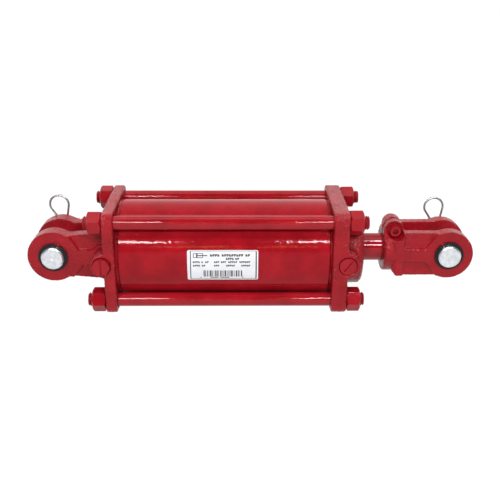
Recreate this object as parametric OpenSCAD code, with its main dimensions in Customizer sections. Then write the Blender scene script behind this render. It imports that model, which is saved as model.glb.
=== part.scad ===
// Double-acting tie-rod hydraulic cylinder, shown fully retracted.
// The origin is the centre of the base clevis pin. +X runs along the barrel towards the rod end,
// +Z is up, and the hydraulic ports face -Y.

/* [Barrel and rod] */
// Bore of the barrel
bore_d = 101.6; // [96:0.1:102]
// Outside diameter of the barrel
barrel_od = 111; // [108:0.5:111.3]
// Travel of the piston
stroke = 152.4; // [120:0.1:165]
// Diameter of the piston rod
rod_d = 31.75; // [28:0.05:32]
// Pitch of the two pins with the rod fully in
pin_centres = 447.1; // [430:0.1:470]
// Distance between the inner faces of the two cap plates
between_caps = 238.5; // [230:0.5:242]

/* [Caps] */
// Side of the square cap plates
cap_side = 118; // [114:0.2:120]
// Radius of the plates' corners
cap_corner_r = 8; // [3:0.5:10]
// Thickness of the base plate
base_plate_t = 13.5; // [11:0.5:15]
// Thickness of the head plate
head_plate_t = 18.2; // [14:0.2:20]
// Distance from the base pin to the outer face of the base plate
base_setback = 59.6; // [56:0.2:62]
// Length of the round gland body in front of the head plate
gland_l = 19.4; // [14:0.1:20]
// Diameter of the gland body
gland_d = 84; // [76:1:84]

/* [Tie rods] */
// Spacing of the tie rods, both ways
tie_pitch = 91.5; // [90:0.5:92]
// Diameter of a tie rod
tie_d = 15.875; // [14:0.025:15.9]
// Nut size across its flats
nut_af = 23.8; // [22:0.1:24]
// Height of a nut
nut_h = 15.3; // [10:0.1:16]
// How far the tie rods stand out of their nuts at the base end
tie_proud = 4.8; // [2:0.2:8]

/* [Clevises and pins] */
// Diameter of the clevis pins
pin_d = 25.4; // [24:0.1:25.6]
// Length of a clevis pin
pin_l = 82.6; // [80:0.2:90]
// Width of the slot between a clevis's ears
clevis_gap = 27; // [25:0.5:28]
// Width of the base clevis over its bosses
base_clevis_w = 64; // [62:0.5:66]
// Outside radius of the base clevis eyes
base_eye_r = 29.4; // [27:0.2:30]
// Width of the rod clevis over its bosses
rod_clevis_w = 56.6; // [55:0.2:60]
// Outside radius of the rod clevis eyes
rod_eye_r = 28; // [26:0.2:29]
// Depth of the cast pockets in the ears' outer faces
pocket_depth = 3.4; // [2:0.2:4]
// Wire diameter of the hairpin clips
clip_wire_d = 2.6; // [2:0.1:2.8]
// Lean of the base pin's clip from upright, in degrees
base_clip_lean = 10; // [0:0.5:15]
// Lean of the rod pin's clip from upright, in degrees
rod_clip_lean = 9.5; // [0:0.5:15]
// How much further the rod pin's clip is pushed in than the base pin's
rod_clip_sink = 4.3; // [0:0.1:6]

/* [Ports and label] */
// Diameter of the port threads
port_d = 19.05; // [16:0.05:19.1]
// Height of the port centres above the cylinder's axis
port_z = -0.7; // [-3:0.1:3]
// Face of the port bosses in front of the cylinder's axis
port_face = 59.5; // [58:0.5:62]
// Length of the label along the barrel
label_l = 78; // [60:1:90]
// Height of the label's upper edge, as an angle round the barrel
label_top = 17.5; // [10:0.5:25]
// Depth of the label's lower edge, as an angle round the barrel
label_bottom = 19.6; // [10:0.5:25]

/* [Hidden] */
$fn = 96;
eps = 0.01;
red = "#a51d29";
steel = "#b9bcc0";
dark = "#26282b";

// stations along X
base_out = base_setback;
base_in = base_out + base_plate_t;
head_in = base_in + between_caps;
head_out = head_in + head_plate_t;
gland_end = head_out + gland_l;
hub_x = pin_centres - 72.8;
body_x = hub_x + 12.7;

// barrel and the caps' pilots inside it
bore_r = bore_d / 2;
barrel_r = barrel_od / 2;
land_r = 53.5;
base_land = 3.3;
head_land = 2.6;
tube_x0 = base_in + base_land;
tube_x1 = head_in - head_land;
pilot_r = bore_r - 0.1;
base_pilot_x = tube_x0 + 14;
head_pilot_x = tube_x1 - 26;
rod_r = rod_d / 2;
running = 0.055;

// piston, with its ends 0.1 mm clear of the pilots at both ends of the stroke
end_gap = 0.1;
piston_x0 = base_pilot_x + end_gap;
piston_l = head_pilot_x - base_pilot_x - stroke - 2 * end_gap;
piston_x1 = piston_x0 + piston_l;
piston_r = bore_r - 0.4;
stub_r = 11.1;
piston_nut_h = 18;
nut_room_r = 21.5;
nut_room_x = piston_x0 - piston_nut_h - 6.5;
seal_w = 6;
seal_depth = 6;
wear_w = 10;
wear_depth = 2.5;

// static seals between the pilots and the barrel
groove_w = 6;
groove_depth = 3.6;
oring_r = 1.75;
backup_w = 1.8;

// gland
bushing_l = 22;
bushing_r = 18.6;
rod_seal_x = head_in + 2;
rod_seal_l = 7;
rod_seal_r = 22;
wiper_l = 6.5;
wiper_r = 21;

// tie rods
tie_y = tie_pitch / 2;
tie_r = tie_d / 2;
tie_hole_r = tie_r + 0.4;
tie_x0 = base_out - nut_h - tie_proud;
corners = [[-1, 1], [1, 1], [-1, -1], [1, -1]];
// how far each nut is turned: front top, back top, front bottom, back bottom
base_nut_turn = [8, -20, -23, -25];
head_nut_turn = [-10, 8, -27, -25];
// how far each tie rod stands out of its nut at the head end, in the same order
head_proud = [5.8, 6, 4.6, 5.2];

// raised foundry marks
mark_h = 0.9;
pip_r = 1;

// clevises
pin_r = pin_d / 2;
pin_hole_r = pin_r + 0.08;
base_throat = 37;
rod_throat = 398;
waist_x = 20;
waist_z = 24.7;
// fillet between an ear's edges and the base plate, as [distance from the plate, height]
flare = [[9, 27.4], [4.6, 29.3], [1.8, 33], [0, 39]];
rib_z = 10;
rod_body_z = 25.8;
rod_corner_r = 6;
hub_r = 27.4;
thread_r = 14.3;
clamp_x = hub_x + 12.3;
clamp_z = 25.2;
clamp_r = 10.8;
lug_front = 12;
lug_back = 16;
screw_r = 3.97;
screw_head_r = 5.85;
screw_head_h = 8;
socket_af = 6.35;
socket_depth = 4.6;
spotface_r = 8.4;
slit = 3;

// pins: front overhang beyond the snap ring, ring and groove, and the clip's cross hole
pin_nose = 4.7;
ring_t = 1.8;
ring_in = pin_r - 0.6;
ring_out = pin_r + 3.6;
ring_gap = 9;
groove_r = pin_r - 0.75;
base_ear = base_clevis_w / 2;
rod_ear = rod_clevis_w / 2;
clip_r = clip_wire_d / 2;
clip_from_end = 7.9;

// ports
port_r = port_d / 2;
base_port_x = base_out - 1.7;
head_port_x = head_out - 0.8;
base_boss_r = 12.6;
head_boss_r = 14.6;
plug_l = 12;
port_drill_r = 7;

// --- shared shapes ---

// A round bar along X from x0 to x1.
module bar_x(x0, x1, r) {
    translate([x0, 0, 0]) rotate([0, 90, 0]) cylinder(r = r, h = x1 - x0);
}

// A round bar along +Y from y0 to y1, centred on [x, z].
module bar_y(x, z, y0, y1, r) {
    translate([x, y1, z]) rotate([90, 0, 0]) cylinder(r = r, h = y1 - y0);
}

// A plain ring round the X axis.
module ring_x(x0, x1, r_in, r_out) {
    difference() {
        bar_x(x0, x1, r_out);
        bar_x(x0 - 1, x1 + 1, r_in);
    }
}

// An O-ring round the X axis.
module oring_x(x, r, section_r) {
    translate([x, 0, 0]) rotate([0, 90, 0]) rotate_extrude() translate([r, 0]) circle(r = section_r, $fn = 48);
}

// A shape turned about the X axis; its outline is given as [distance along X, radius].
module turned_x(outline) {
    rotate([0, 90, 0]) rotate_extrude() polygon([for (p = outline) [p[1], p[0]]]);
}

// A slab of the given XZ outline, from y0 to y1.
module slab_y(y0, y1) {
    translate([0, y1, 0]) rotate([90, 0, 0]) linear_extrude(height = y1 - y0) children();
}

// A square with rounded corners.
module rounded_square(side, r) {
    square([side - 2 * r, side], center = true);
    square([side, side - 2 * r], center = true);
    for (x = [-1, 1], y = [-1, 1]) translate([x, y] * (side / 2 - r)) circle(r = r);
}

// A square cap plate from x0 to x1, with holes for the tie rods.
module cap_plate(x0, x1) {
    translate([x0, 0, 0]) rotate([0, 90, 0]) linear_extrude(height = x1 - x0)
        rounded_square(cap_side, cap_corner_r);
}

module tie_holes(x0, x1) {
    for (c = corners) translate([0, c[0] * tie_y, c[1] * tie_y]) bar_x(x0, x1, tie_hole_r);
}

// A hexagon nut or head along X, bevelled at the end named by face (-1 low, 1 high, 0 both).
module hex_x(x0, x1, af, bore, turn, face) {
    corner = af / sqrt(3);
    b = 1.6;
    lo = face <= 0 ? b : 0;
    hi = face >= 0 ? b : 0;
    difference() {
        intersection() {
            translate([x0, 0, 0]) rotate([turn, 0, 0]) rotate([0, 90, 0])
                cylinder(r = corner, h = x1 - x0, $fn = 6);
            turned_x([
                [x0, 0], [x0, corner + 0.1 - 2 * lo * 0.85], [x0 + lo, corner + 0.2],
                [x1 - hi, corner + 0.2], [x1, corner + 0.1 - 2 * hi * 0.85], [x1, 0]
            ]);
        }
        bar_x(x0 - 1, x1 + 1, bore);
    }
}

// --- caps and barrel ---

// Outline of the base clevis ears in the XZ plane, from the eye to the plate.
module base_ear_outline() {
    circle(r = base_eye_r);
    for (side = [-1, 1]) polygon(concat(
        [[0, 0], [0, side * waist_z], [waist_x, side * waist_z]],
        [for (f = flare) [base_out + eps - f[0], side * f[1]]],
        [[base_out + eps, 0]]
    ));
}

// The part of the ears that stands proud: the eye, and the rib that runs to the port boss.
module base_raised_outline() {
    intersection() {
        base_ear_outline();
        polygon([
            [-40, -40], [10, -40], [33, -rib_z], [base_out + eps, -rib_z],
            [base_out + eps, rib_z + 5], [51, rib_z + 4], [44, rib_z - 1.6], [29, rib_z - 2],
            [10, 40], [-40, 40]
        ]);
    }
}

module base_port_void() {
    bar_y(base_port_x, port_z, -port_face - 1, -port_face + plug_l + 2, port_r + 0.05);
    bar_y(base_port_x, port_z, -port_face + plug_l, -12, port_drill_r);
    translate([0, -16, port_z]) bar_x(base_port_x, nut_room_x + 1, 5);
}

module base_cap() color(red) difference() {
    union() {
        cap_plate(base_out, base_in);
        bar_x(base_in - eps, tube_x0, land_r);
        bar_x(base_in, base_pilot_x, pilot_r);
        slab_y(-base_ear + pocket_depth, base_ear - pocket_depth) base_ear_outline();
        slab_y(-base_ear, base_ear) base_raised_outline();
        bar_y(base_port_x, port_z, -port_face, -base_ear + 4, base_boss_r);
        base_marks();
    }
    // slot for the machine's lug
    translate([-base_eye_r - 1, -clevis_gap / 2, -60])
        cube([base_eye_r + 1 + base_throat, clevis_gap, 120]);
    bar_y(0, 0, -60, 60, pin_hole_r);
    tie_holes(base_out - 1, base_in + 1);
    bar_x(nut_room_x, base_pilot_x + 1, nut_room_r);
    base_port_void();
    static_groove(tube_x0 + 4);
}

// Groove in a pilot for an O-ring and its back-up ring.
module static_groove(x0) {
    ring_x(x0, x0 + groove_w, pilot_r - groove_depth, pilot_r + 1);
}

// A strip with round ends, of the given length along Y and radius r.
module strip(length, r) {
    square([2 * r, length], center = true);
    for (side = [-1, 1]) translate([0, side * length / 2]) circle(r = r, $fn = 32);
}

// A row of n raised foundry pips on a face at -face, from x0 along X.
module pips(n, x0, pitch, z, face) {
    for (i = [0 : n - 1]) bar_y(x0 + i * pitch, z, -face - mark_h, -face + 1, pip_r);
}

// Raised foundry marks: a long ring with three pips in it on the plate's upper edge, and a row
// of pips near its front corner.
module base_marks() {
    translate([base_out + base_plate_t / 2, 6, cap_side / 2 - eps]) linear_extrude(height = mark_h) {
        difference() {
            strip(18, 4.6);
            strip(18, 3.2);
        }
        for (i = [-1 : 1]) translate([0, i * 7]) circle(r = 1.5, $fn = 32);
    }
    pips(4, base_out + 3.2, 2.6, 45, cap_side / 2);
}

module barrel_tube() color(red) ring_x(tube_x0, tube_x1, bore_r, barrel_r);

module head_port_void() {
    bar_y(head_port_x, port_z, -port_face - 1, -port_face + plug_l + 2, port_r + 0.05);
    bar_y(head_port_x, port_z, -port_face + plug_l, -30, port_drill_r);
    translate([0, -34, port_z]) bar_x(head_pilot_x - 1, head_port_x, 4.5);
    // ring groove in the face of the boss
    translate([head_port_x, -port_face + 0.8, port_z]) rotate([90, 0, 0]) difference() {
        cylinder(r = 12.4, h = 3);
        translate([0, 0, -1]) cylinder(r = 11.5, h = 5);
    }
}

module head_cap() color(red) difference() {
    union() {
        cap_plate(head_in, head_out);
        bar_x(tube_x1, head_in + eps, land_r);
        bar_x(head_pilot_x, head_in, pilot_r);
        turned_x([
            [head_out - 1, 0], [head_out - 1, gland_d / 2], [gland_end - 3, gland_d / 2],
            [gland_end, gland_d / 2 - 3], [gland_end, 0]
        ]);
        bar_y(head_port_x, port_z, -port_face, -34, head_boss_r);
        pips(3, head_out - 8, 2.6, 45, cap_side / 2);
    }
    tie_holes(head_in - 1, head_out + 1);
    bar_x(head_pilot_x - 1, gland_end + 1, rod_r + 0.5);
    bar_x(head_pilot_x - 1, head_pilot_x + bushing_l + 1, bushing_r + 0.02);
    bar_x(rod_seal_x, rod_seal_x + rod_seal_l, rod_seal_r);
    bar_x(gland_end - wiper_l, gland_end + 1, wiper_r);
    head_port_void();
    static_groove(tube_x1 - 4 - groove_w);
}

// --- tie rods and nuts ---

module tie_rod(i) {
    c = corners[i];
    tie_x1 = head_out + nut_h + head_proud[i];
    color(red) translate([0, c[0] * tie_y, c[1] * tie_y]) turned_x([
        [tie_x0, 0], [tie_x0, tie_r - 1], [tie_x0 + 1, tie_r],
        [tie_x1 - 1, tie_r], [tie_x1, tie_r - 1], [tie_x1, 0]
    ]);
}

module base_nuts() color(red) for (i = [0 : 3])
    translate([0, corners[i][0] * tie_y, corners[i][1] * tie_y])
        hex_x(base_out - nut_h, base_out, nut_af, tie_r + 0.03, base_nut_turn[i], 0);

module head_nuts() color(red) for (i = [0 : 3])
    translate([0, corners[i][0] * tie_y, corners[i][1] * tie_y])
        hex_x(head_out, head_out + nut_h, nut_af, tie_r + 0.03, head_nut_turn[i], 0);

// --- port plugs and label ---

// Hexagon-headed plug with a screwdriver slot.
module base_port_plug() color(red) translate([base_port_x, -port_face, port_z]) difference() {
    union() {
        rotate([-90, 0, 0]) cylinder(r = port_r, h = plug_l);
        rotate([90, 0, 0]) cylinder(r = 10.2, h = 3, $fn = 6);
    }
    translate([-0.8, -4, -8.2]) cube([1.6, 2.6, 16.4]);
}

// Flush round plug with a screwdriver slot.
module head_port_plug() color(red) translate([head_port_x, -port_face, port_z]) difference() {
    rotate([-90, 0, 0]) cylinder(r = port_r, h = plug_l);
    rotate([0, -54, 0]) translate([-7.4, -1, -0.7]) cube([14.8, 2.6, 1.4]);
}

module label() color("white") translate([152, 0, 0]) rotate([0, 90, 0]) rotate([0, 0, -90 - label_top])
    rotate_extrude(angle = label_top + label_bottom)
        translate([barrel_r + 0.05, 0]) square([0.2, label_l]);

// --- seals and bearings that stay with the caps ---

module base_oring() color(dark)
    oring_x(tube_x0 + 4 + backup_w + 0.4 + oring_r, pilot_r - oring_r, oring_r);

module base_backup_ring() color("white")
    ring_x(tube_x0 + 4.1, tube_x0 + 4.1 + backup_w, pilot_r - groove_depth + 0.1, pilot_r);

module head_oring() color(dark)
    oring_x(tube_x1 - 4 - backup_w - 0.4 - oring_r, pilot_r - oring_r, oring_r);

module head_backup_ring() color("white")
    ring_x(tube_x1 - 4.1 - backup_w, tube_x1 - 4.1, pilot_r - groove_depth + 0.1, pilot_r);

module rod_bushing() color("#9a7b46")
    ring_x(head_pilot_x + 1, head_pilot_x + 1 + bushing_l, rod_r + running, bushing_r);

// U-shaped rod seal with its lips towards the pressure.
module rod_seal() color("#2b4a7d") difference() {
    ring_x(rod_seal_x + 0.2, rod_seal_x + rod_seal_l - 0.2, rod_r + running, rod_seal_r - 0.1);
    ring_x(rod_seal_x - 1, rod_seal_x + 2.8, rod_r + 2, rod_seal_r - 2);
}

// Wiper pressed in the gland's mouth, with a lip that stands out round the rod.
module rod_wiper() color(dark) difference() {
    union() {
        bar_x(gland_end - wiper_l + 0.1, gland_end - 0.1, wiper_r - 0.05);
        bar_x(gland_end - 0.2, gland_end + 1.4, rod_r + 2.2);
    }
    bar_x(gland_end - wiper_l - 1, gland_end + 3, rod_r + running);
}

// --- piston ---

rear_seal_x = piston_x0 + 3.5;
front_seal_x = piston_x1 - 3.5 - seal_w;
wear_x = (piston_x0 + piston_x1 - wear_w) / 2;

module piston_groove(x, w, depth) {
    ring_x(x, x + w, piston_r - depth, piston_r + 1);
}

module piston() color(steel) difference() {
    bar_x(piston_x0, piston_x1, piston_r);
    bar_x(piston_x0 - 1, piston_x1 + 1, stub_r + 0.05);
    piston_groove(rear_seal_x, seal_w, seal_depth);
    piston_groove(front_seal_x, seal_w, seal_depth);
    piston_groove(wear_x, wear_w, wear_depth);
    bar_x(wear_x + 3.4, wear_x + 6.4, stub_r + 2.2);
}

// U-shaped piston seal; its open side faces low X for side = -1 and high X for side = 1.
module piston_seal(x, side) {
    color(dark) difference() {
        ring_x(x + 0.1, x + seal_w - 0.1, piston_r - seal_depth + 0.1, bore_r - running);
        ring_x(side < 0 ? x - 1 : x + seal_w - 2.4, side < 0 ? x + 2.4 : x + seal_w + 1,
            piston_r - seal_depth + 2, bore_r - 2);
    }
}

module piston_seal_rear() piston_seal(rear_seal_x, -1);

module piston_seal_front() piston_seal(front_seal_x, 1);

module piston_wear_ring() color("#5b4636")
    ring_x(wear_x + 0.1, wear_x + wear_w - 0.1, piston_r - wear_depth + 0.1, bore_r - running);

module piston_oring() color(dark) oring_x(wear_x + 4.9, stub_r + 1.1, 0.95);

module piston_nut() color(steel)
    hex_x(piston_x0 - piston_nut_h, piston_x0, 33.3, stub_r + 0.03, 0, -1);

// --- rod and rod clevis ---

module piston_rod() color(red) turned_x([
    [piston_x0 - piston_nut_h - 3.5, 0], [piston_x0 - piston_nut_h - 3.5, stub_r - 1],
    [piston_x0 - piston_nut_h - 2.5, stub_r], [piston_x1, stub_r],
    [piston_x1, rod_r - 0.8], [piston_x1 + 0.8, rod_r],
    [hub_x, rod_r], [hub_x, thread_r - 0.05], [rod_throat - 3, thread_r - 0.05],
    [rod_throat - 2, thread_r - 1], [rod_throat - 2, 0]
]);

// Outline of one cast pocket in an ear's outer face; side is -1 for the lower, 1 for the upper.
module rod_pocket_outline(side) {
    polygon([
        [body_x + 9.6, side * 8.5], [body_x + 33, side * 8.5], [body_x + 48, side * 27],
        [body_x + 48, side * 40], [body_x + 9.6, side * 40]
    ]);
}

// Side view of the rod clevis body, with the bevel under its hub.
module rod_body_outline() {
    translate([pin_centres, 0]) circle(r = rod_eye_r);
    polygon([
        [body_x - 4, -19.5], [body_x + 1, -rod_body_z], [pin_centres, -rod_body_z],
        [pin_centres, rod_body_z], [body_x - 1.5, rod_body_z], [body_x - 4, 20]
    ]);
}

// Plan view of the rod clevis body, with its two upright corners at the hub rounded.
module rod_body_plan() {
    x0 = body_x - 4;
    r = rod_corner_r;
    translate([x0 + r, -rod_ear]) square([120, 2 * rod_ear]);
    translate([x0, -rod_ear + r]) square([120, 2 * (rod_ear - r)]);
    for (side = [-1, 1]) translate([x0 + r, side * (rod_ear - r)]) circle(r = r);
}

module rod_clevis() color(red) difference() {
    union() {
        turned_x([
            [hub_x, 0], [hub_x, hub_r - 1.5], [hub_x + 1.5, hub_r], [body_x - 1, hub_r], [body_x - 1, 0]
        ]);
        intersection() {
            slab_y(-rod_ear, rod_ear) rod_body_outline();
            translate([0, 0, -40]) linear_extrude(height = 80) rod_body_plan();
        }
        bar_y(clamp_x, clamp_z, -lug_front, lug_back, clamp_r);
        translate([clamp_x - clamp_r, -lug_front, 0]) cube([2 * clamp_r, lug_front + lug_back, clamp_z]);
        // raised foundry pips on the rib between the pockets
        pips(9, body_x + 12, 2.6, 5.4, rod_ear);
    }
    // pockets in both outer faces
    for (side = [-1, 1]) {
        slab_y(-rod_ear - 1, -rod_ear + pocket_depth) rod_pocket_outline(side);
        slab_y(rod_ear - pocket_depth, rod_ear + 1) rod_pocket_outline(side);
    }
    // slot for the machine's lug
    translate([rod_throat, -clevis_gap / 2, -60]) cube([100, clevis_gap, 120]);
    bar_y(pin_centres, 0, -60, 60, pin_hole_r);
    bar_x(hub_x - 1, rod_throat + 1, thread_r);
    // clamp: slit, screw hole and the spotface that lets the screw head in
    translate([hub_x - 1, -slit / 2, 5]) cube([rod_throat - hub_x + 2, slit, 40]);
    bar_y(clamp_x, clamp_z, -40, lug_back + 1, screw_r + 0.05);
    bar_y(clamp_x, clamp_z, -40, -lug_front + 1, spotface_r);
}

module clamp_screw() color(dark) translate([clamp_x, 0, clamp_z]) difference() {
    union() {
        bar_y(0, 0, -lug_front + 1 - screw_head_h, -lug_front + 0.98, screw_head_r);
        bar_y(0, 0, -lug_front, lug_back - 1.5, screw_r);
    }
    translate([0, -lug_front + 1 - screw_head_h + socket_depth, 0]) rotate([90, 0, 0])
        cylinder(r = socket_af / sqrt(3), h = 6, $fn = 6);
}

// --- pins, snap rings and clips ---

// A clevis pin at x whose snap ring lies on the ear face at -ear.
module clevis_pin(x, ear, lean) {
    y0 = -ear - 0.1 - ring_t - 0.1 - pin_nose;
    y1 = y0 + pin_l;
    bevel = 1.5;
    dimple = 0.9;
    difference() {
        translate([x, 0, 0]) rotate([-90, 0, 0]) rotate_extrude() polygon([
            [0, y0 + dimple], [dimple, y0], [pin_r - bevel, y0], [pin_r, y0 + bevel],
            [pin_r, -ear - ring_t - 0.2], [groove_r, -ear - ring_t - 0.2],
            [groove_r, -ear], [pin_r, -ear],
            [pin_r, y1 - bevel], [pin_r - bevel, y1], [0, y1]
        ]);
        translate([x, y1 - clip_from_end, 0]) rotate([0, lean, 0])
            cylinder(r = clip_r + 0.25, h = 2 * pin_r + 4, center = true, $fn = 32);
    }
}

// A snap ring in its pin's groove, with its gap turned to gap_at degrees from +X.
module snap_ring(x, ear, gap_at) {
    translate([x, -ear - 0.1, 0]) rotate([90, 0, 0]) rotate([0, 0, gap_at + ring_gap / 2])
        rotate_extrude(angle = 360 - ring_gap) translate([ring_in, 0]) square([ring_out - ring_in, ring_t]);
}

// The clip's route in its own plane, [across, up], from the straight leg's tip over the loop
// and down round the side of the pin. A clip pushed further in has its loop lower by sink.
loop_r = 11;
loop_z = 38.6;
hump_r = pin_r + clip_r + 0.35;
function arc_points(c, r, a0, a1, n) =
    [for (i = [0 : n]) let (a = a0 + (a1 - a0) * i / n) c + r * [cos(a), sin(a)]];
function clip_route(sink) = concat(
    [for (up = [-17.5, -6, 6, 20, 30]) [0, up - sink]],
    arc_points([-loop_r, loop_z - sink], loop_r, 0, 214, 18),
    [[-14.6, 26.5 - sink], [-10.4, 21.5 - sink]],
    arc_points([0, 0], hump_r, 122, 205, 8),
    [[-15.6, -11], [-18.4, -15]]
);

// Direction of a route at point i.
function heading(pts, i) =
    let (a = pts[max(i - 1, 0)], b = pts[min(i + 1, len(pts) - 1)]) (b - a) / norm(b - a);

// A round wire swept along a flat route; the route's plane is XZ.
module wire(pts, r, sides = 10) {
    n = len(pts);
    rings = [for (i = [0 : n - 1]) let (h = heading(pts, i), side = [-h[1], h[0]])
        for (j = [0 : sides - 1]) let (a = 360 * j / sides)
            [pts[i][0] + r * cos(a) * side[0], r * sin(a), pts[i][1] + r * cos(a) * side[1]]];
    faces = concat(
        [[for (j = [0 : sides - 1]) j]],
        [for (i = [0 : n - 2]) for (j = [0 : sides - 1]) let (k = (j + 1) % sides)
            [i * sides + k, i * sides + j, (i + 1) * sides + j, (i + 1) * sides + k]],
        [[for (j = [sides - 1 : -1 : 0]) (n - 1) * sides + j]]
    );
    polyhedron(points = rings, faces = faces, convexity = 6);
}

module hairpin(x, ear, lean, sink) {
    y = -ear - 0.2 - ring_t - pin_nose + pin_l - clip_from_end;
    translate([x, y, 0]) rotate([0, lean, 0]) wire(clip_route(sink), clip_r);
}

module base_snap_ring() color(dark) snap_ring(0, base_ear, 66);

module base_pin() color(steel) clevis_pin(0, base_ear, base_clip_lean);

module base_clip() color(steel) hairpin(0, base_ear, base_clip_lean, 0);

module rod_snap_ring() color(dark) snap_ring(pin_centres, rod_ear, 120);

module rod_pin() color(steel) clevis_pin(pin_centres, rod_ear, rod_clip_lean);

module rod_clip() color(steel) hairpin(pin_centres, rod_ear, rod_clip_lean, rod_clip_sink);

base_cap();
barrel_tube();
head_cap();
tie_rod(0);  // tie_rod_front_top
tie_rod(1);  // tie_rod_back_top
tie_rod(2);  // tie_rod_front_bottom
tie_rod(3);  // tie_rod_back_bottom
base_nuts();
head_nuts();
base_port_plug();
head_port_plug();
label();
base_oring();
base_backup_ring();
head_oring();
head_backup_ring();
rod_bushing();
rod_seal();
rod_wiper();
piston_seal_rear();
piston_seal_front();
piston_wear_ring();
piston_rod();
piston();
piston_oring();
piston_nut();
rod_clevis();
clamp_screw();
base_snap_ring();
base_pin();
base_clip();
rod_snap_ring();
rod_pin();
rod_clip();
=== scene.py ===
"""Looks of the tie-rod hydraulic cylinder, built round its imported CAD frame."""

import math

import bpy
from mathutils import Matrix, Vector

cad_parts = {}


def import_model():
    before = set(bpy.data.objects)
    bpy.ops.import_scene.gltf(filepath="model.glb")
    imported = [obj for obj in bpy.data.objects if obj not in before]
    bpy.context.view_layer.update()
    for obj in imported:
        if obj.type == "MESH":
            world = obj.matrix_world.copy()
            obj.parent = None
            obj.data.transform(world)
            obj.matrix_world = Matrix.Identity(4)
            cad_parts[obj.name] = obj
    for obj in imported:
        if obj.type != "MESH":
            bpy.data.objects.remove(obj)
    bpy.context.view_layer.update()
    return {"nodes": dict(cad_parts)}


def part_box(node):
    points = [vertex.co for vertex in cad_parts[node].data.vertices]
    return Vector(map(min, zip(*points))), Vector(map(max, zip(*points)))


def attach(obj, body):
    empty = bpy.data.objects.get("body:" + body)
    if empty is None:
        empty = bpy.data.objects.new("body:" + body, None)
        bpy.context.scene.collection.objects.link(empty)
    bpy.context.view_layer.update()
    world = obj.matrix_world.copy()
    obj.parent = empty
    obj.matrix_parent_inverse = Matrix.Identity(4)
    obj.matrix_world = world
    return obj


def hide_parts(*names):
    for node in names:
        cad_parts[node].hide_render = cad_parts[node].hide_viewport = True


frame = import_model()
nodes = frame["nodes"]
scene = bpy.context.scene
MM = 0.001
TAU = 2 * math.pi


# --- places taken from the frame ---

def low(node):
    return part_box(node)[0]


def high(node):
    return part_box(node)[1]


def middle(node):
    a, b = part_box(node)
    return (a + b) / 2


BARREL_R = high("barrel_tube").y
BARREL_X0, BARREL_X1 = low("barrel_tube").x, high("barrel_tube").x
FLOOR_Z = low("base_cap").z
ROD_R = high("piston_rod").y
PIN_CENTRES = {"base": middle("base_snap_ring"), "rod": middle("rod_snap_ring")}


# --- helpers for node trees ---

def new_material(name):
    """A material with its node tree and its shader."""
    mat = bpy.data.materials.new(name)
    mat.use_nodes = True
    tree = mat.node_tree
    return mat, tree, tree.nodes["Principled BSDF"]


def object_coords(tree):
    return tree.nodes.new("ShaderNodeTexCoord").outputs["Object"]


def noise(tree, where, scale, detail=3.0, roughness=0.55):
    node = tree.nodes.new("ShaderNodeTexNoise")
    node.inputs["Scale"].default_value = scale
    node.inputs["Detail"].default_value = detail
    node.inputs["Roughness"].default_value = roughness
    tree.links.new(where, node.inputs["Vector"])
    return node.outputs["Fac"]


def ramp(tree, value, stops):
    """A colour ramp over value; stops are (position, colour)."""
    node = tree.nodes.new("ShaderNodeValToRGB")
    elements = node.color_ramp.elements
    while len(elements) < len(stops):
        elements.new(0.5)
    for element, (position, colour) in zip(elements, stops):
        element.position = position
        element.color = (*colour, 1.0)
    tree.links.new(value, node.inputs["Fac"])
    return node.outputs["Color"]


def grey(v):
    return (v, v, v)


def spread(tree, value, lo, hi):
    """value from 0 to 1, mapped onto lo to hi."""
    node = tree.nodes.new("ShaderNodeMapRange")
    node.inputs["To Min"].default_value = lo
    node.inputs["To Max"].default_value = hi
    tree.links.new(value, node.inputs["Value"])
    return node.outputs["Result"]


def spread_signed(tree, value):
    """value from -1 to 1, mapped onto 0 to 1."""
    node = tree.nodes.new("ShaderNodeMapRange")
    node.inputs["From Min"].default_value = -1.0
    tree.links.new(value, node.inputs["Value"])
    return node.outputs["Result"]


def bump(tree, height, strength, distance, below=None):
    """A normal from height, laid over the normal below where there is one."""
    node = tree.nodes.new("ShaderNodeBump")
    node.inputs["Strength"].default_value = strength
    node.inputs["Distance"].default_value = distance
    tree.links.new(height, node.inputs["Height"])
    if below is not None:
        tree.links.new(below, node.inputs["Normal"])
    return node.outputs["Normal"]


def split_axes(tree, vector):
    """The X, Y and Z of a vector, by name."""
    parts = tree.nodes.new("ShaderNodeSeparateXYZ")
    tree.links.new(vector, parts.inputs["Vector"])
    return parts.outputs


def math_node(tree, operation, *values):
    """The result of a math operation on linked values."""
    node = tree.nodes.new("ShaderNodeMath")
    node.operation = operation
    for value, socket in zip(values, node.inputs):
        tree.links.new(value, socket)
    return node.outputs["Value"]


def power(tree, value, exponent):
    """The size of value, raised to exponent."""
    raised = math_node(tree, "POWER", math_node(tree, "ABSOLUTE", value))
    raised.node.inputs[1].default_value = exponent
    return raised


def open_socket(sockets, name):
    """The socket of that name that the node's data type uses."""
    return next(socket for socket in sockets if socket.name == name and socket.enabled)


# --- materials ---

RED_DEEP = (0.165, 0.0029, 0.0064)
RED_MAIN = (0.222, 0.0042, 0.0088)
RED_LIGHT = (0.275, 0.0060, 0.0125)
# noise scales of the paint's colour and gloss, and scale and depth of its two bumps
TONE_SCALE = 45
PATCH_SCALE = 110
PEEL_SCALE, PEEL_DEPTH = 240, 0.5 * MM
SAND_SCALE, SAND_DEPTH = 520, 2.2 * MM


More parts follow.
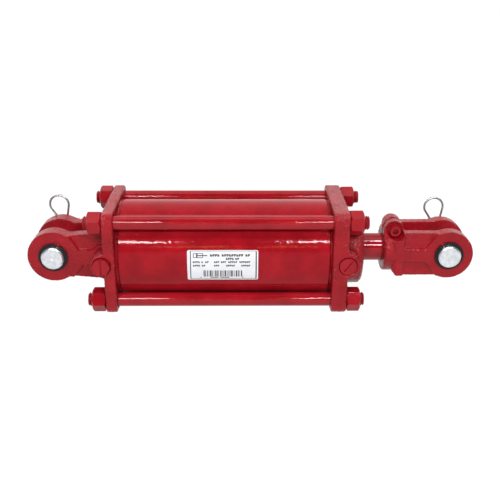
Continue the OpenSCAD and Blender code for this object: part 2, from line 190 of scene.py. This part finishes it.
def paint(name, sand, peel, rough_lo, rough_hi, gloss):
    """Red enamel. peel is its orange peel, sand the cast texture on flat faces, or 0 for none."""
    mat, tree, shader = new_material(name)
    where = object_coords(tree)
    tone = noise(tree, where, TONE_SCALE, 5)
    colour = ramp(tree, tone, [(0.22, RED_DEEP), (0.5, RED_MAIN), (0.8, RED_LIGHT)])
    tree.links.new(colour, shader.inputs["Base Color"])
    patches = noise(tree, where, PATCH_SCALE, 4)
    tree.links.new(spread(tree, patches, rough_lo, rough_hi), shader.inputs["Roughness"])
    skin = bump(tree, noise(tree, where, PEEL_SCALE, 2), peel, PEEL_DEPTH)
    if sand:
        # the sand shows most along the edges, where the paint has drawn back
        point = tree.nodes.new("ShaderNodeNewGeometry").outputs["Pointiness"]
        edge = ramp(tree, point, [(0.503, grey(0.0)), (0.53, grey(1.0))])
        skin = bump(tree, noise(tree, where, SAND_SCALE, 3, 0.6), sand, SAND_DEPTH, skin)
        tree.links.new(spread(tree, edge, sand, 1.0), skin.node.inputs["Strength"])
    tree.links.new(skin, shader.inputs["Normal"])
    shader.inputs["Specular IOR Level"].default_value = gloss
    return mat


FINE_GRAIN = 0.2 * MM


def set_input(material, name, value):
    """Sets one constant of the material's shader."""
    material.node_tree.nodes["Principled BSDF"].inputs[name].default_value = value


def grained(name, dark, light, rough_lo, rough_hi, scale, grain):
    """A material whose colour, roughness and surface grain all follow one fine noise."""
    mat, tree, shader = new_material(name)
    fac = noise(tree, object_coords(tree), scale, 4)
    tree.links.new(ramp(tree, fac, [(0.3, dark), (0.7, light)]), shader.inputs["Base Color"])
    tree.links.new(spread(tree, fac, rough_lo, rough_hi), shader.inputs["Roughness"])
    tree.links.new(bump(tree, fac, grain, FINE_GRAIN), shader.inputs["Normal"])
    return mat


def metal(name, dark, light, rough_lo, rough_hi, scale=400, grain=0.15):
    mat = grained(name, dark, light, rough_lo, rough_hi, scale, grain)
    set_input(mat, "Metallic", 1.0)
    return mat


def nonmetal(name, dark, light, rough_lo, rough_hi, scale=500, grain=0.2):
    return grained(name, dark, light, rough_lo, rough_hi, scale, grain)


cast_paint = paint("red_paint_cast", 0.42, 0.5, 0.05, 0.12, 0.2)
smooth_paint = paint("red_paint_smooth", 0.0, 0.28, 0.045, 0.09, 0.125)
bar_paint = paint("red_paint_bars", 0.0, 0.16, 0.03, 0.07, 0.26)
fastener_paint = paint("red_paint_fasteners", 0.0, 0.3, 0.05, 0.1, 0.2)
zinc_plate = metal("zinc_plate", (0.54, 0.57, 0.61), (0.76, 0.77, 0.80), 0.3, 0.45, 300, 0.3)
wire_zinc = metal("bright_wire", (0.27, 0.275, 0.285), (0.50, 0.51, 0.52), 0.3, 0.42, 300)
set_input(wire_zinc, "Specular Tint", (0.04, 0.04, 0.05, 1))
chrome = metal("hard_chrome", (0.70, 0.71, 0.73), (0.80, 0.81, 0.83), 0.06, 0.12, 200, 0.03)
bare_steel = metal("oiled_steel", (0.25, 0.25, 0.26), (0.42, 0.42, 0.43), 0.3, 0.5)
cast_iron = metal("turned_iron", (0.16, 0.16, 0.17), (0.30, 0.30, 0.31), 0.35, 0.55)
bronze = metal("bearing_bronze", (0.42, 0.26, 0.11), (0.60, 0.42, 0.20), 0.25, 0.45)
black_oxide = nonmetal("black_oxide", (0.001, 0.002, 0.003), (0.003, 0.006, 0.007), 0.2, 0.35)
set_input(black_oxide, "Specular IOR Level", 0.25)
rubber = nonmetal("nitrile_rubber", (0.012, 0.012, 0.012), (0.03, 0.03, 0.03), 0.45, 0.65)
urethane = nonmetal("polyurethane", (0.03, 0.08, 0.22), (0.05, 0.13, 0.32), 0.3, 0.45)
wear_resin = nonmetal("wear_band", (0.10, 0.06, 0.04), (0.18, 0.12, 0.08), 0.5, 0.7)
backup_nylon = nonmetal("backup_nylon", (0.66, 0.66, 0.60), (0.80, 0.80, 0.75), 0.4, 0.6)
label_film = nonmetal("label_film", (0.51, 0.525, 0.56), (0.565, 0.58, 0.615), 0.3, 0.4, 150)
label_ink = nonmetal("label_ink", (0.008, 0.008, 0.009), (0.02, 0.02, 0.022), 0.3, 0.45)


def dress(node, material):
    """Gives a CAD node one material in place of its own, and smooth shading."""
    slots = nodes[node].data.materials
    slots.clear()
    slots.append(material)
    for face in nodes[node].data.polygons:
        face.material_index = 0
        face.use_smooth = True


# --- castings: the CAD shape with the soft edges of a sand casting ---

# half the width of the square end plates, and how far in from their edge the rim rounds
# begin and are full
PLATE_HALF = -low("base_cap").z
RIM_BEGINS, RIM_FULL = 7 * MM, 4 * MM
RIM_BLURS = 26
CAST_BLURS = 11
VOXEL = 0.55 * MM
KEPT_FACES = 0.26
SAND_GRAIN = 2.0 * MM
SAND_HEIGHT = 0.6 * MM
SAND_INWARD = 0.95

sand = bpy.data.textures.new("sand", "CLOUDS")
sand.noise_scale = SAND_GRAIN
sand.noise_depth = 1


def rim_rounds():
    """Modifier tree that blurs the shape near the outer rim of a square end plate."""
    tree = bpy.data.node_groups.new("rim_rounds", "GeometryNodeTree")
    for way in ("INPUT", "OUTPUT"):
        tree.interface.new_socket("Geometry", in_out=way, socket_type="NodeSocketGeometry")
    start = tree.nodes.new("NodeGroupInput")
    end = tree.nodes.new("NodeGroupOutput")
    place = tree.nodes.new("GeometryNodeInputPosition").outputs["Position"]
    along = split_axes(tree, place)
    sides = [math_node(tree, "ABSOLUTE", along[axis]) for axis in ("Y", "Z")]
    near_rim = tree.nodes.new("ShaderNodeMapRange")
    near_rim.inputs["From Min"].default_value = PLATE_HALF - RIM_BEGINS
    near_rim.inputs["From Max"].default_value = PLATE_HALF - RIM_FULL
    tree.links.new(math_node(tree, "MAXIMUM", *sides), near_rim.inputs["Value"])
    blur = tree.nodes.new("GeometryNodeBlurAttribute")
    blur.data_type = "FLOAT_VECTOR"
    blur.inputs["Iterations"].default_value = RIM_BLURS
    tree.links.new(place, open_socket(blur.inputs, "Value"))
    tree.links.new(near_rim.outputs["Result"], blur.inputs["Weight"])
    moved = tree.nodes.new("GeometryNodeSetPosition")
    tree.links.new(start.outputs["Geometry"], moved.inputs["Geometry"])
    tree.links.new(open_socket(blur.outputs, "Value"), moved.inputs["Position"])
    tree.links.new(moved.outputs["Geometry"], end.inputs["Geometry"])
    return tree


def cast_edges(node, rim):
    """Rounds every edge and inner corner of a CAD node, and roughens its skin inward."""
    obj = nodes[node]
    remesh = obj.modifiers.new("cast_skin", "REMESH")
    remesh.mode = "VOXEL"
    remesh.voxel_size = VOXEL
    remesh.use_smooth_shade = True
    soften = obj.modifiers.new("cast_rounds", "SMOOTH")
    soften.factor = 0.5
    soften.iterations = CAST_BLURS
    if rim:
        obj.modifiers.new("rim_rounds", "NODES").node_group = rim
    rough = obj.modifiers.new("sand_skin", "DISPLACE")
    rough.texture = sand
    rough.texture_coords = "LOCAL"
    rough.strength = SAND_HEIGHT
    rough.mid_level = SAND_INWARD
    thin = obj.modifiers.new("fewer_faces", "DECIMATE")
    thin.ratio = KEPT_FACES


plate_rim = rim_rounds()
for casting, rim in (("base_cap", plate_rim), ("head_cap", plate_rim), ("rod_clevis", None)):
    dress(casting, cast_paint)
    cast_edges(casting, rim)


# --- pieces that keep their CAD shape, most with small rounds on their edges ---

ROUND_SEGMENTS = 3
SHARP_EDGE = math.radians(28)
SAME_POINT = 0.002 * MM


def edge_rounds(node, width):
    """Small rounds on the sharp edges, with the flat faces kept flat in shading."""
    obj = nodes[node]
    weld = obj.modifiers.new("joined_corners", "WELD")
    weld.merge_threshold = SAME_POINT
    bevel = obj.modifiers.new("edge_rounds", "BEVEL")
    bevel.width = width
    bevel.segments = ROUND_SEGMENTS
    bevel.limit_method = "ANGLE"
    bevel.angle_limit = SHARP_EDGE
    bevel.use_clamp_overlap = True
    flat = obj.modifiers.new("flat_faces", "WEIGHTED_NORMAL")
    flat.keep_sharp = False


# node: its material, and the width of its edge rounds in mm, or 0 for none
KEPT_SHAPES = {
    "barrel_tube": (smooth_paint, 0.8),
    "base_nuts": (fastener_paint, 0.8),
    "head_nuts": (fastener_paint, 0.8),
    "base_port_plug": (fastener_paint, 0.5),
    "head_port_plug": (fastener_paint, 0.4),
    "clamp_screw": (fastener_paint, 0.4),
    "base_pin": (zinc_plate, 0.3),
    "rod_pin": (zinc_plate, 0.3),
    "base_snap_ring": (black_oxide, 0.25),
    "rod_snap_ring": (black_oxide, 0.25),
    "base_oring": (rubber, 0),
    "head_oring": (rubber, 0),
    "piston_oring": (rubber, 0),
    "rod_wiper": (rubber, 0.2),
    "rod_seal": (urethane, 0.2),
    "piston_seal_rear": (urethane, 0.2),
    "piston_seal_front": (urethane, 0.2),
    "piston_wear_ring": (wear_resin, 0.2),
    "base_backup_ring": (backup_nylon, 0.2),
    "head_backup_ring": (backup_nylon, 0.2),
    "rod_bushing": (bronze, 0.2),
    "piston": (cast_iron, 0.3),
    "piston_nut": (bare_steel, 0.5),
}
for node, (material, width) in KEPT_SHAPES.items():
    dress(node, material)
    if width:
        edge_rounds(node, width * MM)


# --- new pieces ---

CREASE = math.radians(35)


def mesh_piece(name, body, verts, faces, materials, indices=None):
    """A new piece on a body. indices gives each face's place in materials."""
    mesh = bpy.data.meshes.new(name)
    mesh.from_pydata(verts, [], faces)
    for material in materials:
        mesh.materials.append(material)
    for i, face in enumerate(mesh.polygons):
        face.use_smooth = True
        face.material_index = indices[i] if indices else 0
    mesh.validate()
    mesh.set_sharp_from_angle(angle=CREASE)
    obj = bpy.data.objects.new(name, mesh)
    scene.collection.objects.link(obj)
    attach(obj, body)
    return obj


def bar_along_x(centre_y, centre_z, stations, radius, sides):
    """Vertices and faces of a closed bar along X; radius(x, turn) gives its surface."""
    verts = [(stations[0], centre_y, centre_z)]
    for x in stations:
        for j in range(sides):
            a = TAU * j / sides
            r = radius(x, j / sides)
            verts.append((x, centre_y + r * math.cos(a), centre_z + r * math.sin(a)))
    verts.append((stations[-1], centre_y, centre_z))
    last = len(verts) - 1
    faces = []
    for j in range(sides):
        k = (j + 1) % sides
        faces.append((0, 1 + k, 1 + j))
        for i in range(len(stations) - 1):
            a = 1 + i * sides
            faces.append((a + j, a + k, a + sides + k, a + sides + j))
        a = 1 + (len(stations) - 1) * sides
        faces.append((a + j, a + k, last))
    return verts, faces


# --- tie rods: 5/8-11 threads at both ends ---

PITCH = 25.4 / 11 * MM
THREAD_DEPTH = 1.25 * MM
THREAD_STEPS = 10
THREAD_SIDES = 64
CHAMFER = 1.2 * MM
INTO_NUT = 2 * MM
RUNOUT = 0.1 * MM


def thread_depth(phase):
    """Depth below the crest, from 0 to 1, of a 60 degree thread with flat crest and root."""
    t = abs((phase % 1.0) - 0.5) * 2
    return min(max((t - 0.12) / 0.68, 0.0), 1.0)


def tie_rod(node):
    """A tie rod in place of its CAD node, threaded where it stands in and beyond its nuts."""
    a, b = low(node), high(node)
    centre = (a + b) / 2
    r = (b.y - a.y) / 2
    base_thread_end = high("base_nuts").x - INTO_NUT
    head_thread_start = low("head_nuts").x + INTO_NUT
    step = PITCH / THREAD_STEPS

    def radius(x, turn):
        threaded = x < base_thread_end or x > head_thread_start
        depth = THREAD_DEPTH * thread_depth(x / PITCH - turn) if threaded else 0.0
        from_end = min(x - a.x, b.x - x)
        return min(r - depth, r - CHAMFER + max(from_end, 0.0))

    stations = []
    x = a.x
    while x < base_thread_end:
        stations.append(x)
        x += step
    stations += [base_thread_end, base_thread_end + RUNOUT, head_thread_start - RUNOUT]
    x = head_thread_start + RUNOUT
    while x < b.x:
        stations.append(x)
        x += step
    stations.append(b.x)
    verts, faces = bar_along_x(centre.y, centre.z, stations, radius, THREAD_SIDES)
    piece = mesh_piece(node + "_threaded", "barrel", verts, faces, [bar_paint])
    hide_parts(node)


for node in ("tie_rod_front_top", "tie_rod_back_top", "tie_rod_front_bottom", "tie_rod_back_bottom"):
    tie_rod(node)


# --- piston rod: painted where it stands out at rest, chromed where it runs in the gland ---

ROD_SIDES = 96


def piston_rod():
    """The rod in place of its CAD node, with its stub for the piston and its clevis end."""
    a, b = low("piston_rod"), high("piston_rod")
    piston_end = high("piston").x
    piston_start = low("piston").x
    paint_edge = high("rod_wiper").x + 0.3 * MM
    hub = low("rod_clevis").x + 0.5 * MM
    stub = 11.1 * MM
    tip = 14.25 * MM
    end_cut = 1 * MM
    shoulder_cut = 0.8 * MM
    # (x, radius) along the rod; two places a hair apart make a sharp step
    shape = [
        (a.x, stub - end_cut), (a.x + end_cut, stub), (piston_start, stub), (piston_end, stub),
        (piston_end + 0.01 * MM, ROD_R - shoulder_cut), (piston_end + shoulder_cut, ROD_R),
        (paint_edge, ROD_R), (paint_edge + 0.05 * MM, ROD_R), (hub, ROD_R), (hub + 0.1 * MM, tip),
        (b.x - end_cut, tip), (b.x, tip - end_cut),
    ]
    stations = [s[0] for s in shape]
    radii = dict(shape)
    verts, faces = bar_along_x(0, 0, stations, lambda x, turn: radii[x], ROD_SIDES)
    painted = [int(sum(verts[v][0] for v in face) / len(face) > paint_edge) for face in faces]
    piece = mesh_piece(
        "piston_rod_finished", "rod", verts, faces, [chrome, bar_paint], painted)
    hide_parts("piston_rod")


piston_rod()


# --- hairpin clips: round wire swept along the CAD route ---

def spline(t, a, b, c, d):
    """One coordinate of a Catmull-Rom curve, at t between b and c."""
    square = 2 * a - 5 * b + 4 * c - d
    cube = 3 * b - a - 3 * c + d
    return 0.5 * (2 * b + (c - a) * t + square * t * t + cube * t ** 3)


def smooth_path(points, steps):
    """Catmull-Rom curve through points in the plane."""
    path = []
    for i in range(len(points) - 1):
        p0 = points[max(i - 1, 0)]
        p1, p2 = points[i], points[i + 1]
        p3 = points[min(i + 2, len(points) - 1)]
        for s in range(steps):
            t = s / steps
            path.append(tuple(spline(t, *along) for along in zip(p0, p1, p2, p3)))
    path.append(points[-1])
    return path


def arc(cx, cz, r, a0, a1, n):
    """Points from a0 to a1 degrees round (cx, cz)."""
    return [(cx + r * math.cos(math.radians(a0 + (a1 - a0) * i / n)),
             cz + r * math.sin(math.radians(a0 + (a1 - a0) * i / n))) for i in range(n + 1)]


WIRE_R = 1.3
HUMP_R = 14.35
LOOP_R = 11
WIRE_SIDES = 16


def hairpin(end, lean, sink):
    """The clip at one end: a straight leg, the loop, the neck and the hump round the pin.

    lean is the clip's tilt in degrees, and sink how far its loop sits below full height, in mm.
    """
    node = end + "_clip"
    # the wire's middle line in mm from the pin's centre, as (right, up) before the tilt
    route = [(0, up - sink) for up in (-17.5, -6, 6, 20, 30)]
    route += arc(-LOOP_R, 38.6 - sink, LOOP_R, 0, 214, 18)
    route += [(-14.6, 26.5 - sink), (-10.4, 21.5 - sink)]
    route += arc(0, 0, HUMP_R, 122, 205, 8)
    route += [(-15.6, -11), (-18.4, -15)]
    path = smooth_path(route, 4)
    centre = PIN_CENTRES[end]
    y = middle(node).y
    tilt_cos, tilt_sin = math.cos(math.radians(lean)), math.sin(math.radians(lean))
    sides = WIRE_SIDES
    verts, faces = [], []
    rings = []
    for i, (u, v) in enumerate(path):
        du = path[min(i + 1, len(path) - 1)][0] - path[max(i - 1, 0)][0]
        dv = path[min(i + 1, len(path) - 1)][1] - path[max(i - 1, 0)][1]
        length = math.hypot(du, dv)
        rings.append((u, v, du / length, dv / length, WIRE_R))
    # two smaller rings round off each end of the wire
    for at, direction in ((0, -1), (-1, 1)):
        u, v, du, dv, _ = rings[at]
        tips = []
        for beyond, share in ((0.5, 0.86), (0.9, 0.45)):
            reach = direction * beyond
            tips.append((u + reach * du, v + reach * dv, du, dv, WIRE_R * share))
        rings = tips[::-1] + rings if direction < 0 else rings + tips
    for u, v, du, dv, r in rings:
        for j in range(sides):
            a = TAU * j / sides
            across, deep = r * math.cos(a), r * math.sin(a)
            pu, pv = u - dv * across, v + du * across
            verts.append((centre.x + (pu * tilt_cos + pv * tilt_sin) * MM, y + deep * MM,
                          centre.z + (pv * tilt_cos - pu * tilt_sin) * MM))
    for i in range(len(rings) - 1):
        for j in range(sides):
            k = (j + 1) % sides
            a, b = i * sides, (i + 1) * sides
            faces.append((a + j, a + k, b + k, b + j))
    faces.append(tuple(range(sides - 1, -1, -1)))
    faces.append(tuple((len(rings) - 1) * sides + j for j in range(sides)))
    piece = mesh_piece(
        node + "_wire", node + "_body", verts, faces, [wire_zinc])
    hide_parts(node)


hairpin("base", 10.0, 0.0)
hairpin("rod", 9.5, 4.3)


# --- label: a film with rounded corners and a generic printed face ---

LABEL_X0, LABEL_X1 = low("label").x, high("label").x
LABEL_R = BARREL_R + 0.2 * MM
LABEL_FACE_R = BARREL_R + 0.25 * MM
LABEL_FOOT = math.asin(low("label").z / LABEL_FACE_R)
LABEL_HEAD = math.asin(high("label").z / LABEL_FACE_R)
LABEL_W = (LABEL_X1 - LABEL_X0) / MM
LABEL_H = (LABEL_HEAD - LABEL_FOOT) * LABEL_R / MM
# in mm: the film's corner radius, its thickness and how far its back lies under LABEL_R
FILM_CORNER, FILM_THICK, FILM_SINK = 2.0, 0.12, 0.14
# in mm: the ink's thickness, and about how far it runs straight before it bends with the barrel
INK_THICK, INK_STRETCH = 0.03, 1.5


def on_label(u, v, lift):
    """A point of the label: u mm from its left edge and v mm from its lower edge, along the film."""
    a = LABEL_FOOT + v * MM / LABEL_R
    r = LABEL_R + lift * MM
    return (LABEL_X0 + u * MM, -r * math.cos(a), r * math.sin(a))


def film(name, width, height):
    """A thin curved sheet with rounded corners, in strips so that it follows the barrel."""
    corner = FILM_CORNER
    rows = 24
    verts, faces = [], []

    def inset(v):
        """How far the rounded corners draw the sides in at height v."""
        from_edge = min(v, height - v)
        if from_edge >= corner:
            return 0.0
        return corner - math.sqrt(max(corner ** 2 - (corner - from_edge) ** 2, 0.0))

    edge_rows = [corner * (1 - math.cos(math.radians(15 * i))) for i in range(6)]
    levels = list(edge_rows)
    levels += [corner + (height - 2 * corner) * i / rows for i in range(rows + 1)]
    levels += [height - e for e in reversed(edge_rows)]
    for v in levels:
        for depth in (-FILM_SINK, -FILM_SINK + FILM_THICK):
            verts.append(on_label(inset(v), v, depth))
            verts.append(on_label(width - inset(v), v, depth))
    n = len(levels)
    for i in range(n - 1):
        a, b = 4 * i, 4 * (i + 1)
        faces.append((a + 2, a + 3, b + 3, b + 2))
        faces.append((a, b, b + 1, a + 1))
        faces.append((a, a + 2, b + 2, b))
        faces.append((a + 1, b + 1, b + 3, a + 3))
    faces.append((0, 1, 3, 2))
    top = 4 * (n - 1)
    faces.append((top, top + 2, top + 3, top + 1))
    return mesh_piece(name, "barrel", verts, faces, [label_film])


def ink(name, patches):
    """Printed patches, each (u0, v0, u1, v1) in mm, as one thin piece on the film."""
    verts, faces = [], []
    for u0, v0, u1, v1 in patches:
        steps = max(1, round((v1 - v0) / INK_STRETCH))
        for i in range(steps):
            va = v0 + (v1 - v0) * i / steps
            vb = v0 + (v1 - v0) * (i + 1) / steps
            n = len(verts)
            for lift in (0.0, INK_THICK):
                verts += [on_label(u, v, lift) for u, v in ((u0, va), (u1, va), (u1, vb), (u0, vb))]
            faces += [(n + 4, n + 5, n + 6, n + 7), (n, n + 3, n + 2, n + 1), (n, n + 4, n + 7, n + 3),
                      (n + 1, n + 2, n + 6, n + 5)]
            if i == 0:
                faces.append((n, n + 1, n + 5, n + 4))
            if i == steps - 1:
                faces.append((n + 2, n + 3, n + 7, n + 6))
    return mesh_piece(name, "barrel", verts, faces, [label_ink])


def greeked(u, v, tall, width):
    """A word's worth of strokes that look like print from afar and spell nothing."""
    strokes = []
    pitch = 0.95 * tall
    for i in range(max(1, round(width / pitch))):
        left = u + i * pitch
        strokes.append((left, v, left + 0.46 * tall, v + tall))
        half = v + (0.35 * tall if i % 3 else 0.0)
        strokes.append((left + 0.46 * tall, half, left + 0.8 * tall, half + 0.65 * tall))
    return strokes


def label():
    """The film and its print: a frame, a drawing, greeked words and stripes, in mm on the film."""
    w, h = LABEL_W, LABEL_H
    paper = film("label_film", w, h)
    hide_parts("label")
    left, right = 3.1, w - 2.9
    ink("label_frame", [
        (left, h - 1.3, right, h - 0.9), (left, 1.0, right, 1.5),
        (left, 1.0, left + 1.0, h - 0.9), (right, 1.0, right + 1.3, h - 0.9),
    ])
    # a plain drawing of a cylinder: barrel, piston and rod
    x, y = 6.4, 27.4
    ink("label_drawing", [
        (x, y, x + 11.0, y + 0.7), (x, y + 4.6, x + 11.0, y + 5.3), (x, y, x + 0.8, y + 5.3),
        (x + 10.2, y, x + 11.0, y + 1.9), (x + 10.2, y + 3.4, x + 11.0, y + 5.3),
        (x + 3.4, y + 0.7, x + 5.0, y + 4.6), (x + 5.0, y + 2.1, x + 15.6, y + 3.2),
    ])
    # rows of strokes in place of words, as (left, foot, height, width)
    rows = [
        (25.2, 28.9, 2.8, 11.0), (38.0, 28.9, 2.8, 24.0), (64.0, 28.9, 2.8, 6.6),
        (42.4, 25.2, 2.4, 8.6), (52.8, 25.2, 2.4, 5.4),
        (6.2, 21.6, 2.1, 8.0), (15.6, 21.6, 2.1, 2.8), (19.8, 21.6, 2.1, 4.4),
        (29.4, 21.6, 2.1, 6.2), (37.0, 21.6, 2.1, 6.6),
        (45.2, 21.6, 2.1, 10.6), (57.4, 21.6, 2.1, 12.6),
        (6.4, 17.4, 2.1, 8.4), (16.2, 17.4, 2.1, 4.2), (29.4, 17.4, 2.1, 6.6),
        (42.8, 17.4, 2.1, 9.0), (59.4, 17.4, 2.1, 10.8),
        (14.2, 2.4, 1.5, 1.3), (25.6, 2.4, 1.5, 8.0),
        (36.4, 2.4, 1.5, 10.6), (60.6, 2.4, 1.5, 1.3),
    ]
    ink("label_words", [stroke for row in rows for stroke in greeked(*row)])
    # evenly patterned stripes in place of a barcode
    stripes = []
    u = 17.6
    i = 0
    while u < 59:
        wide = 0.5 + 0.45 * ((i * 5) % 3)
        stripes.append((u, 4.4, u + wide, 12.6))
        u += wide + 0.5 + 0.3 * ((i * 3) % 4)
        i += 1
    ink("label_stripes", stripes)


label()


# --- stage, light and camera ---

# half the floor's width, and the patch of painted shadow on it under the barrel: its middle in Y, half
# its width, half its length as a share of the barrel's, and how square its corners are
FLOOR_HALF = 20.0
PAINTED_SHADOW_Y = 6.5 * MM
PAINTED_SHADOW_HALF = 43.5 * MM
PAINTED_SHADOW_REACH = 0.6
PAINTED_SHADOW_SQUARENESS = 10


def floor():
    """A pale floor that lights up softly by itself, with a painted shadow where the barrel stands over
    it: darker colour and almost no emission there.
    """
    mesh = bpy.data.meshes.new("floor")
    corners = [(x * FLOOR_HALF, y * FLOOR_HALF, 0) for x, y in ((-1, -1), (1, -1), (1, 1), (-1, 1))]
    mesh.from_pydata(corners, [], [(0, 1, 2, 3)])
    obj = bpy.data.objects.new("floor", mesh)
    obj.location = (0, 0, FLOOR_Z)
    scene.collection.objects.link(obj)
    mat, tree, shader = new_material("pale_floor")
    where = object_coords(tree)
    shader.inputs["Roughness"].default_value = 1.0
    shader.inputs["Specular IOR Level"].default_value = 0.0
    span = BARREL_X1 - BARREL_X0
    placed = tree.nodes.new("ShaderNodeMapping")
    placed.inputs["Location"].default_value = (-(BARREL_X0 + span / 2), -PAINTED_SHADOW_Y, 0)
    tree.links.new(where, placed.inputs["Vector"])
    shrunk = tree.nodes.new("ShaderNodeMapping")
    shrunk.inputs["Scale"].default_value = (1 / (PAINTED_SHADOW_REACH * span), 1 / PAINTED_SHADOW_HALF, 0)
    tree.links.new(placed.outputs["Vector"], shrunk.inputs["Vector"])
    along = split_axes(tree, shrunk.outputs["Vector"])
    reach = [power(tree, along[axis], PAINTED_SHADOW_SQUARENESS) for axis in ("X", "Y")]
    outside = math_node(tree, "ADD", *reach)
    # painted shadow: the floor's colour and its emission drop almost to black under the barrel
    shade = ramp(tree, outside, [(0.25, grey(0.0)), (0.9, grey(0.055))])
    tree.links.new(shade, shader.inputs["Base Color"])
    glow_and_painted_shadow = ramp(tree, outside, [(0.25, grey(0.01)), (0.9, grey(1.0))])
    tree.links.new(glow_and_painted_shadow, shader.inputs["Emission Color"])
    shader.inputs["Emission Strength"].default_value = 1.0
    mesh.materials.append(mat)


def softbox(name, at, aim, width, height, radiance, tilt=0.0, colour=(1, 1, 1)):
    """A rectangular light at a point, facing aim, turned by tilt degrees in its own plane."""
    data = bpy.data.lights.new(name, "AREA")
    data.shape = "RECTANGLE"
    data.size = width
    data.size_y = height
    data.energy = radiance * math.pi * width * height
    data.color = colour
    obj = bpy.data.objects.new(name, data)
    obj.location = at
    facing = (Vector(aim) - Vector(at)).to_track_quat("-Z", "Y").to_matrix()
    obj.rotation_euler = (facing @ Matrix.Rotation(math.radians(tilt), 3, "Z")).to_euler()
    scene.collection.objects.link(obj)


def camera():
    """The camera of the reference view, found from the object's own edges."""
    pitch, yaw, roll = math.radians(21.84), math.radians(0.75), math.radians(0.23)
    focal_px, frame_px, sensor = 788.7, 500, 36.0
    distance = 0.92106
    aim = Vector((0.22164, 0.0, -0.0044))
    level = Vector((math.sin(yaw), math.cos(yaw), 0))
    forward = level * math.cos(pitch) - Vector((0, 0, math.sin(pitch)))
    right = Vector((math.cos(yaw), -math.sin(yaw), 0))
    up = right.cross(forward)
    turned_right = math.cos(roll) * right + math.sin(roll) * up
    turned_up = -math.sin(roll) * right + math.cos(roll) * up
    data = bpy.data.cameras.new("camera")
    data.sensor_width = sensor
    data.lens = focal_px / frame_px * sensor
    data.clip_start = 0.01
    obj = bpy.data.objects.new("camera", data)
    turn = Matrix((turned_right, turned_up, -forward)).transposed().to_4x4()
    obj.matrix_world = Matrix.Translation(aim - forward * distance) @ turn
    scene.collection.objects.link(obj)
    scene.camera = obj


def world():
    """A dim studio in front, a bright wall behind, and a pale band round the horizon."""
    sky = bpy.data.worlds.new("studio")
    sky.use_nodes = True
    tree = sky.node_tree
    direction = tree.nodes.new("ShaderNodeTexCoord").outputs["Generated"]
    along = split_axes(tree, direction)
    depth = spread_signed(tree, along["Y"])
    height = spread_signed(tree, along["Z"])
    room = [(0.0, grey(0.08)), (0.5, grey(0.12)), (0.72, grey(0.95)), (1.0, grey(1.2))]
    shade = ramp(tree, depth, room)
    band = ramp(tree, height, [(0.55, grey(1.0)), (0.59, grey(0.0))])
    lighter = tree.nodes.new("ShaderNodeMix")
    lighter.data_type = "RGBA"
    lighter.blend_type = "LIGHTEN"
    open_socket(lighter.inputs, "Factor").default_value = 1.0
    tree.links.new(shade, open_socket(lighter.inputs, "A"))
    tree.links.new(band, open_socket(lighter.inputs, "B"))
    tree.links.new(open_socket(lighter.outputs, "Result"), tree.nodes["Background"].inputs["Color"])
    scene.world = sky


# where the lights aim, the radiance of three kinds of them, and the colour of the warm ones
CENTRE = (0.22, 0, 0)
STRIP = 95
WARM = 14
REAR = 11
ORANGE = (1.0, 0.45, 0.08)


def lights():
    """Strips for the streaks on the barrel and rods, and soft light from above and behind."""
    # two pairs of long lights, each pair open at its outer end, like the edges of a leaning panel
    for side, x, reach in (("left", -0.24, -1), ("right", 0.60, 1)):
        softbox(side + "_strip_upper", (x, -1.27, 0.875), CENTRE, 0.46, 0.045, STRIP, 8 * reach)
        softbox(side + "_strip_lower", (x, -1.30, 0.80), CENTRE, 0.46, 0.045, STRIP, -8 * reach)
        softbox(side + "_high", (0.2 + 0.5 * reach, -0.55, 1.45), CENTRE, 0.25, 0.10, STRIP)
    # faint warm lights, low in front
    softbox("left_warm", (0.07, -1.38, 0.52), CENTRE, 0.23, 0.06, WARM, 0, ORANGE)
    softbox("right_warm", (0.36, -1.38, 0.52), CENTRE, 0.15, 0.06, WARM, 0, ORANGE)
    softbox("overhead", (0.22, 0.0, 1.7), CENTRE, 1.2, 0.7, 1.8)
    # two soft lights from the rear corners, for the back of the object
    softbox("rear_left", (-0.78, 0.84, 0.92), CENTRE, 0.5, 0.4, REAR)
    softbox("rear_right", (1.22, 0.84, 0.92), CENTRE, 0.5, 0.4, REAR)


floor()
world()
camera()
lights()
scene.view_settings.view_transform = "Standard"
